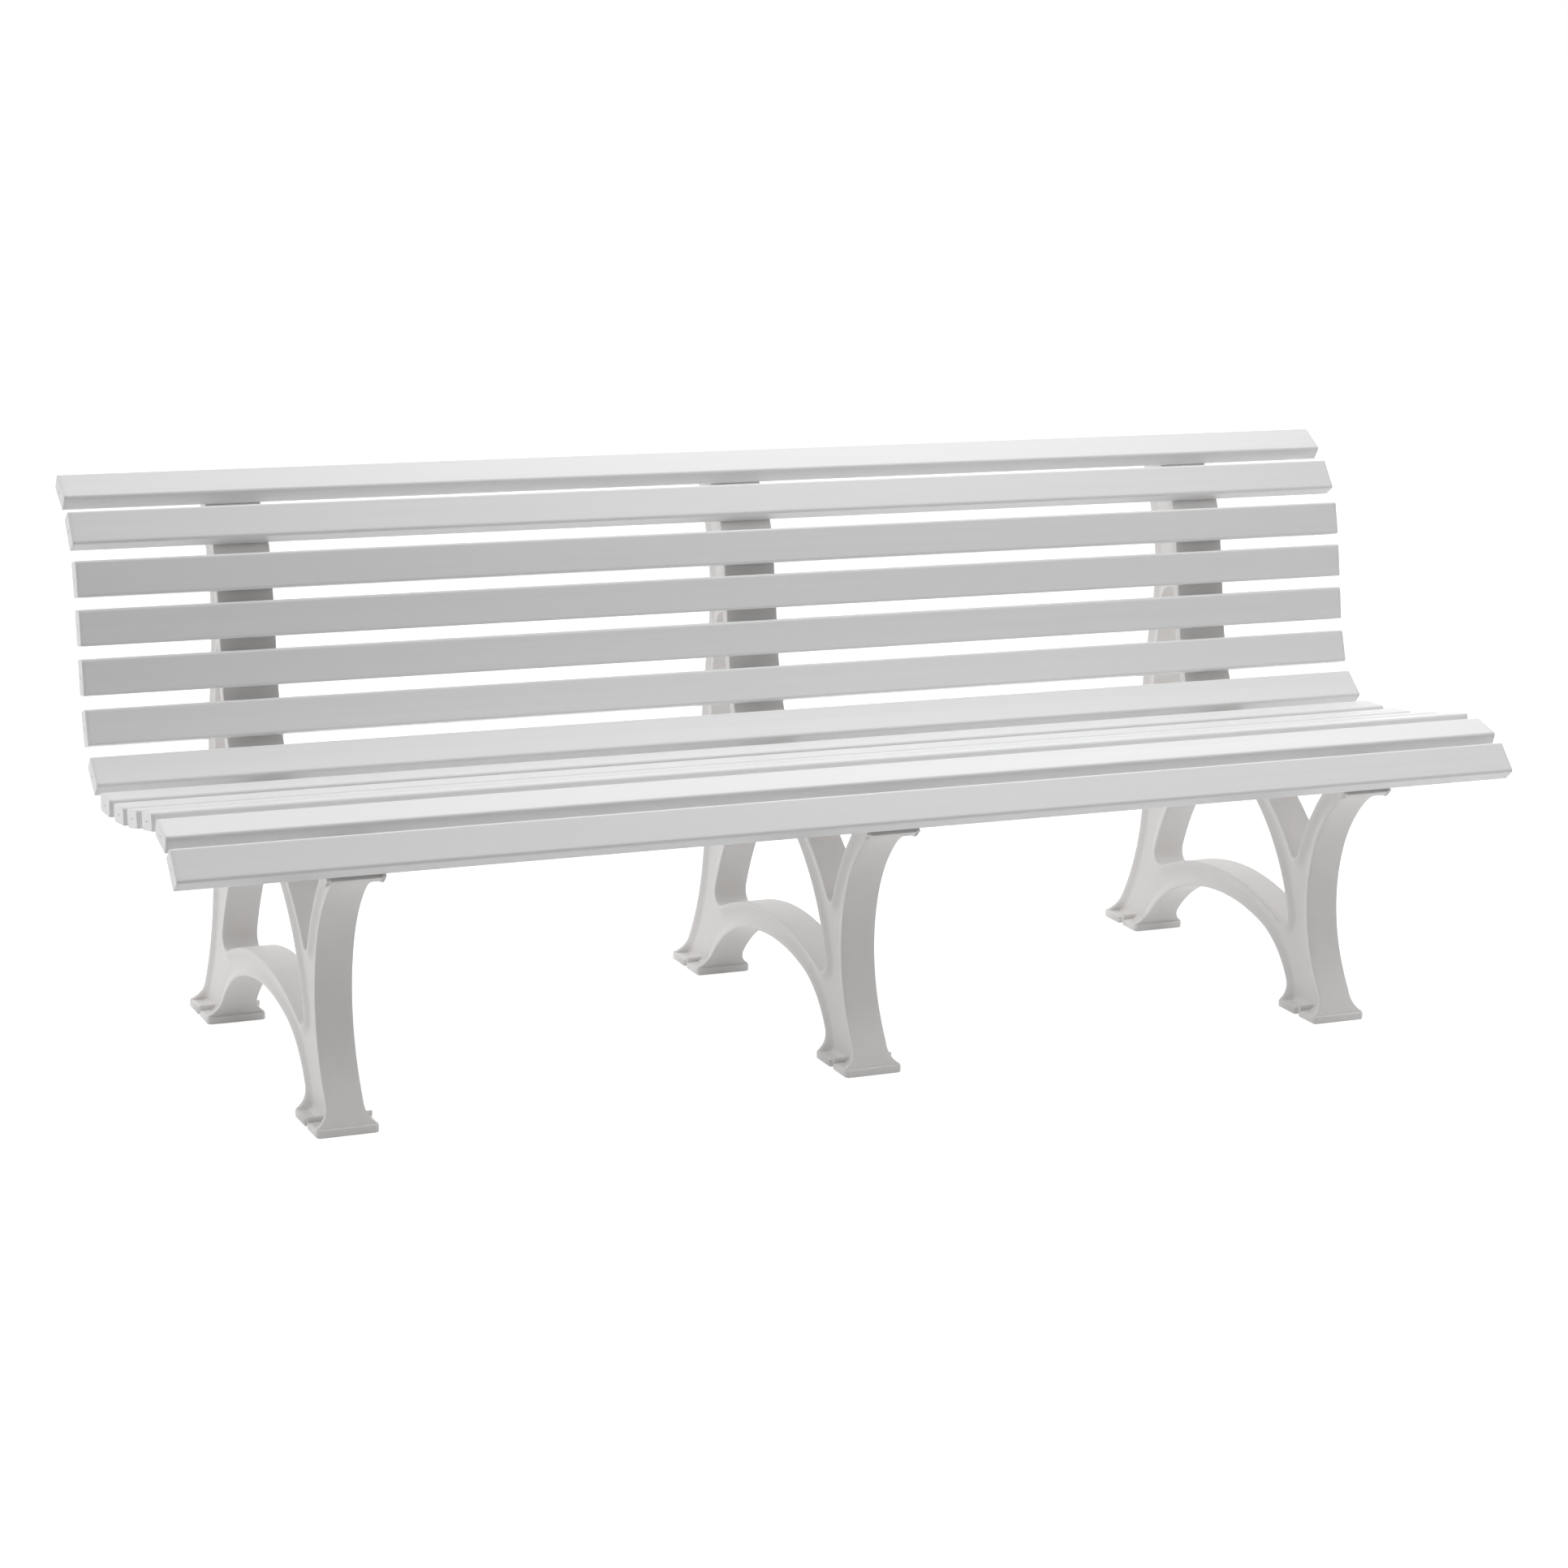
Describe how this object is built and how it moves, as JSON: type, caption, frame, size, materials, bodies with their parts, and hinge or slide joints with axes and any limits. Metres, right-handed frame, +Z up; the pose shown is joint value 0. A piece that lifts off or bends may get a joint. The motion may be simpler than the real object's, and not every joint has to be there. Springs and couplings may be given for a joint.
{
  "type": "park bench",
  "caption": "Free-standing park bench: white hollow plastic slats form a curved seat and back on moulded plastic frames with arched, branching legs.",
  "frame": {"origin": "on the ground, in the middle of the bench's length and depth", "axes": "+X along the bench's length, -Y towards the front of the seat, +Z up"},
  "size_m": [2, 0.6886, 0.7977],
  "materials": {
    "slat_plastic": "satin extruded",
    "cap_plastic": "satin moulded",
    "frame_plastic": "fine moulded",
    "screw_steel": "plain"
  },
  "bodies": {
    "root": {"front_slat_lower": "slat_plastic", "front_slat_lower_left_cap": "cap_plastic", "front_slat_lower_right_cap": "cap_plastic", "front_slat_upper": "slat_plastic", "front_slat_upper_left_cap": "cap_plastic", "front_slat_upper_right_cap": "cap_plastic", "seat_slat_1": "slat_plastic", "seat_slat_1_left_cap": "cap_plastic", "seat_slat_1_right_cap": "cap_plastic", "seat_slat_2": "slat_plastic", "seat_slat_2_left_cap": "cap_plastic", "seat_slat_2_right_cap": "cap_plastic", "seat_slat_3": "slat_plastic", "seat_slat_3_left_cap": "cap_plastic", "seat_slat_3_right_cap": "cap_plastic", "seat_slat_4": "slat_plastic", "seat_slat_4_left_cap": "cap_plastic", "seat_slat_4_right_cap": "cap_plastic", "corner_slat": "slat_plastic", "corner_slat_left_cap": "cap_plastic", "corner_slat_right_cap": "cap_plastic", "back_slat_1": "slat_plastic", "back_slat_1_left_cap": "cap_plastic", "back_slat_1_right_cap": "cap_plastic", "back_slat_2": "slat_plastic", "back_slat_2_left_cap": "cap_plastic", "back_slat_2_right_cap": "cap_plastic", "back_slat_3": "slat_plastic", "back_slat_3_left_cap": "cap_plastic", "back_slat_3_right_cap": "cap_plastic", "back_slat_4": "slat_plastic", "back_slat_4_left_cap": "cap_plastic", "back_slat_4_right_cap": "cap_plastic", "back_slat_5": "slat_plastic", "back_slat_5_left_cap": "cap_plastic", "back_slat_5_right_cap": "cap_plastic", "back_slat_6": "slat_plastic", "back_slat_6_left_cap": "cap_plastic", "back_slat_6_right_cap": "cap_plastic", "left_frame": "frame_plastic", "left_frame_screws": "screw_steel", "middle_frame": "frame_plastic", "middle_frame_screws": "screw_steel", "right_frame": "frame_plastic", "right_frame_screws": "screw_steel"}
  },
  "joints": []
}
